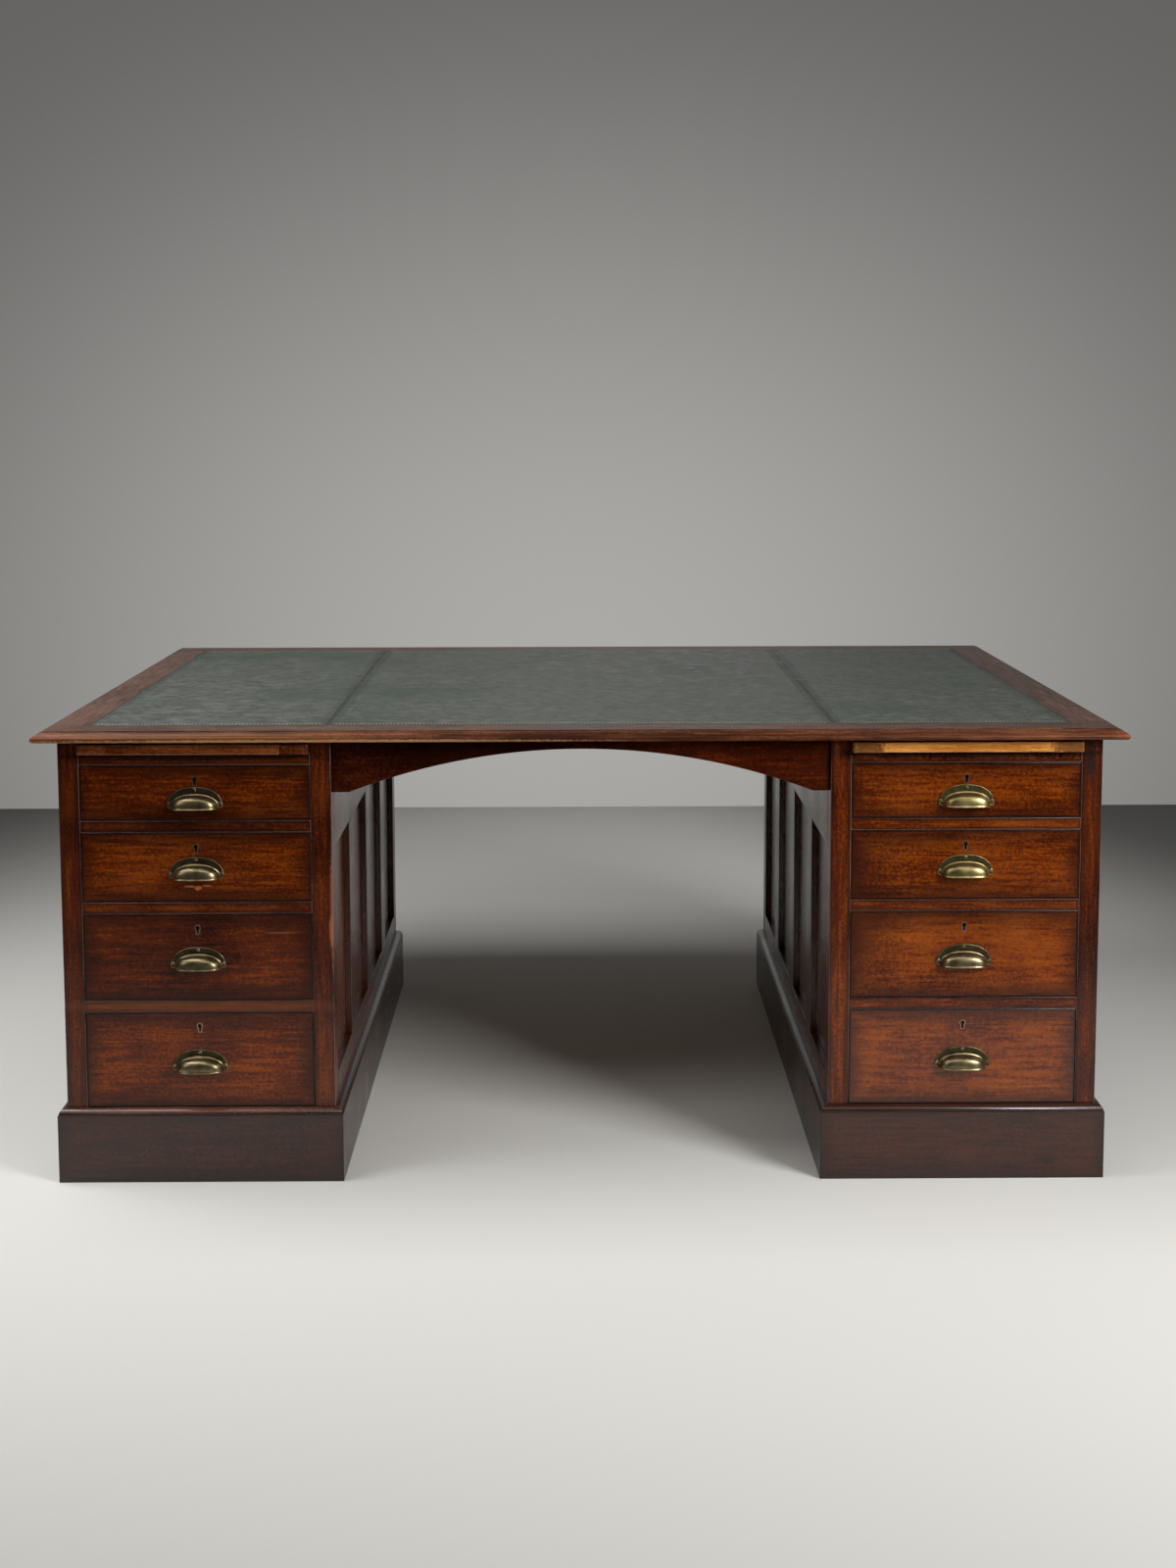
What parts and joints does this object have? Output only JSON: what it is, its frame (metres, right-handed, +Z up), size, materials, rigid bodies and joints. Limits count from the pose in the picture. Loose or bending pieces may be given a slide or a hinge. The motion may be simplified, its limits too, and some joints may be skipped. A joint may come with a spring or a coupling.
{
  "type": "partners desk",
  "caption": "Twin-pedestal partners desk with a leather-lined moulded top, arched kneehole aprons, cup-pull drawers, pull-out writing slides and cupboards behind.",
  "frame": {"origin": "on the floor under the middle of the desk", "axes": "+X along the length of the top, +Y from the drawer side to the cupboard side, +Z up"},
  "size_m": [1.83, 1.22, 0.78],
  "materials": {
    "mahogany": "French-polished, worn",
    "drawer_oak": "unfinished, darkened",
    "carcass_pine": "unfinished, darkened",
    "green_leather": "waxed hide, tooled",
    "aged_brass": "aged, polished by handling"
  },
  "bodies": {
    "carcass": {"top_front_board": "mahogany", "top_back_board": "mahogany", "top_left_board": "mahogany", "top_right_board": "mahogany", "top_core": "carcass_pine", "leather_left": "green_leather", "leather_centre": "green_leather", "leather_right": "green_leather", "front_apron": "mahogany", "rear_apron": "mahogany", "left_corner_posts": "mahogany", "left_side_frames": "mahogany", "left_side_panels": "mahogany", "left_cross_rails": "mahogany", "left_runners": "carcass_pine", "left_inner_boards": "carcass_pine", "left_plinth": "mahogany", "left_post_hinge_leaves": "aged_brass", "right_corner_posts": "mahogany", "right_side_frames": "mahogany", "right_side_panels": "mahogany", "right_cross_rails": "mahogany", "right_runners": "carcass_pine", "right_inner_boards": "carcass_pine", "right_plinth": "mahogany", "right_post_hinge_leaves": "aged_brass"},
    "left_drawer_1": {"left_drawer_1_front": "mahogany", "left_drawer_1_box": "drawer_oak", "left_drawer_1_fittings": "aged_brass"},
    "left_drawer_2": {"left_drawer_2_front": "mahogany", "left_drawer_2_box": "drawer_oak", "left_drawer_2_fittings": "aged_brass"},
    "left_drawer_3": {"left_drawer_3_front": "mahogany", "left_drawer_3_box": "drawer_oak", "left_drawer_3_fittings": "aged_brass"},
    "left_drawer_4": {"left_drawer_4_front": "mahogany", "left_drawer_4_box": "drawer_oak", "left_drawer_4_fittings": "aged_brass"},
    "left_writing_slide": {"left_slide": "mahogany"},
    "left_door": {"left_door_frame": "mahogany", "left_door_panel": "mahogany", "left_door_lock": "aged_brass", "left_door_hinge_leaves": "aged_brass"},
    "right_drawer_1": {"right_drawer_1_front": "mahogany", "right_drawer_1_box": "drawer_oak", "right_drawer_1_fittings": "aged_brass"},
    "right_drawer_2": {"right_drawer_2_front": "mahogany", "right_drawer_2_box": "drawer_oak", "right_drawer_2_fittings": "aged_brass"},
    "right_drawer_3": {"right_drawer_3_front": "mahogany", "right_drawer_3_box": "drawer_oak", "right_drawer_3_fittings": "aged_brass"},
    "right_drawer_4": {"right_drawer_4_front": "mahogany", "right_drawer_4_box": "drawer_oak", "right_drawer_4_fittings": "aged_brass"},
    "right_writing_slide": {"right_slide": "mahogany"},
    "right_door": {"right_door_frame": "mahogany", "right_door_panel": "mahogany", "right_door_lock": "aged_brass", "right_door_hinge_leaves": "aged_brass"}
  },
  "joints": [
    {"name": "left_drawer_1_slide", "type": "slide", "parent": "carcass", "child": "left_drawer_1", "axis": [0, -1, 0], "range_m": [0, 0.4]},
    {"name": "left_drawer_2_slide", "type": "slide", "parent": "carcass", "child": "left_drawer_2", "axis": [0, -1, 0], "range_m": [0, 0.4]},
    {"name": "left_drawer_3_slide", "type": "slide", "parent": "carcass", "child": "left_drawer_3", "axis": [0, -1, 0], "range_m": [0, 0.4]},
    {"name": "left_drawer_4_slide", "type": "slide", "parent": "carcass", "child": "left_drawer_4", "axis": [0, -1, 0], "range_m": [0, 0.4]},
    {"name": "left_writing_slide_pull", "type": "slide", "parent": "carcass", "child": "left_writing_slide", "axis": [0, -1, 0], "range_m": [0, 0.35]},
    {"name": "left_door_hinge", "type": "hinge", "parent": "carcass", "child": "left_door", "pos_m": [-0.8435, 0.5785, 0.4235], "axis": [0, 0, 1], "range_deg": [0, 110]},
    {"name": "right_drawer_1_slide", "type": "slide", "parent": "carcass", "child": "right_drawer_1", "axis": [0, -1, 0], "range_m": [0, 0.4]},
    {"name": "right_drawer_2_slide", "type": "slide", "parent": "carcass", "child": "right_drawer_2", "axis": [0, -1, 0], "range_m": [0, 0.4]},
    {"name": "right_drawer_3_slide", "type": "slide", "parent": "carcass", "child": "right_drawer_3", "axis": [0, -1, 0], "range_m": [0, 0.4]},
    {"name": "right_drawer_4_slide", "type": "slide", "parent": "carcass", "child": "right_drawer_4", "axis": [0, -1, 0], "range_m": [0, 0.4]},
    {"name": "right_writing_slide_pull", "type": "slide", "parent": "carcass", "child": "right_writing_slide", "axis": [0, -1, 0], "range_m": [0, 0.35]},
    {"name": "right_door_hinge", "type": "hinge", "parent": "carcass", "child": "right_door", "pos_m": [0.8435, 0.5785, 0.4235], "axis": [0, 0, -1], "range_deg": [0, 110]}
  ]
}
